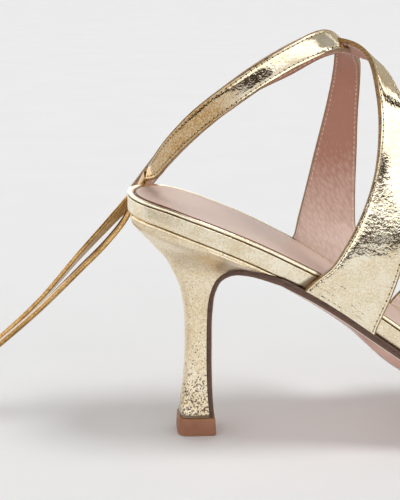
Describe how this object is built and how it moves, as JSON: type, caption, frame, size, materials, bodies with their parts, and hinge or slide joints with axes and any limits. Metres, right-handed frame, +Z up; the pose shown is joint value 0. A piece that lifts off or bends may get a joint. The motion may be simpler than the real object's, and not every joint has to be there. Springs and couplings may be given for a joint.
{
  "type": "high heel shoe",
  "caption": "High-heeled ankle-tie sandal with lined metallic leather straps crossing over the instep, a wrapped insole board, flared covered heel, rubber tip and trailing ties.",
  "frame": {"origin": "middle of the shoe's footprint on the floor, without the ties", "axes": "+X from the heel towards the toe, +Y towards the inner side of the foot, +Z up"},
  "size_m": [0.3579, 0.1118, 0.1411],
  "materials": {
    "board_wrap": "pale gold foil leather wrapped round the board",
    "sock": "smooth rose-pink lining leather",
    "sole_leather": "brown painted edge with a nude glossy underside",
    "heel_cover": "pale gold foil leather stretched over the heel block",
    "tip_rubber": "matt tan rubber",
    "strap_leather": "crackled gold foil leather outside, rose-pink lining inside",
    "front_leather": "crackled gold foil leather outside, rose-pink lining inside",
    "tie_far_leather": "folded gold foil leather",
    "tie_near_leather": "folded gold foil leather"
  },
  "bodies": {
    "root": {"insole_board": "board_wrap", "insole_sock": "sock", "outsole": "sole_leather", "heel": "heel_cover", "heel_tip": "tip_rubber", "cross_straps": "strap_leather", "front_strap": "front_leather", "tie_far": "tie_far_leather", "tie_near": "tie_near_leather"}
  },
  "joints": []
}
